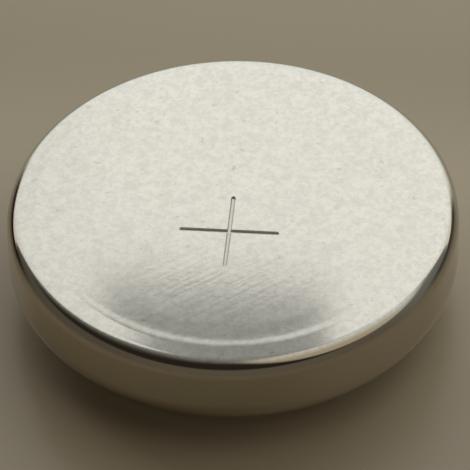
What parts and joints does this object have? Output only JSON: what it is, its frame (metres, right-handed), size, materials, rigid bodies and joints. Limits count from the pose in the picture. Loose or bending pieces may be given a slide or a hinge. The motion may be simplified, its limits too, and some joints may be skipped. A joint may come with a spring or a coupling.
{
  "type": "alkaline button cell",
  "caption": "Coin-shaped alkaline button cell: a steel can with a flat positive face, its rim crimped over a nylon gasket onto a stepped negative cap, with cathode, separator and zinc gel inside.",
  "frame": {"origin": "centre of the negative contact face", "axes": "+Z along the axis of the cell, towards the positive face; +Y towards the top of the plus mark as it is read"},
  "size_m": [0.0116, 0.0116, 0.003],
  "materials": {
    "nickel_plate": "satin nickel plate on the face, polished on the wall",
    "clad_sheet": "fine satin nickel",
    "nylon": "natural nylon, slightly translucent",
    "cathode_mix": "pressed manganese dioxide and graphite",
    "barrier_film": "clear cellulose film",
    "fibre_pad": "nonwoven fibre",
    "zinc_gel": "gelled zinc powder"
  },
  "bodies": {
    "root": {"positive_can": "nickel_plate", "cathode_pellet": "cathode_mix", "barrier_film": "barrier_film", "absorbent_pad": "fibre_pad", "anode_gel": "zinc_gel", "sealing_gasket": "nylon", "negative_cap": "clad_sheet"}
  },
  "joints": []
}
